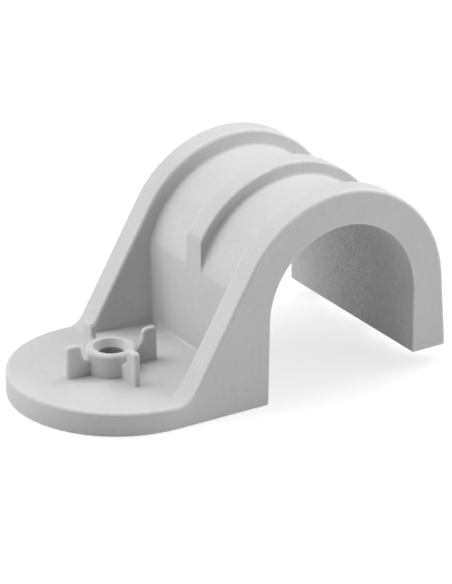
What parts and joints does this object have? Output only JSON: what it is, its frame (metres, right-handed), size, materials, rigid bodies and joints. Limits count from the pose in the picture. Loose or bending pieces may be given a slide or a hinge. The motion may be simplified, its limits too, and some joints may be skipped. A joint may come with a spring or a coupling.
{
  "type": "single-lug pipe clip",
  "caption": "One-piece moulded pipe clip: a ribbed half-round saddle for a pipe, with a screw lug and finned countersunk boss on one side.",
  "frame": {"origin": "on the screw hole's axis, in the mounting face under the lug", "axes": "+X from the screw lug towards the pipe, +Y along the pipe, +Z away from the wall that the clip is screwed to"},
  "size_m": [0.0811, 0.0424, 0.0391],
  "materials": {
    "moulded_plastic": "satin"
  },
  "bodies": {
    "root": {"pipe_clip": "moulded_plastic"}
  },
  "joints": []
}
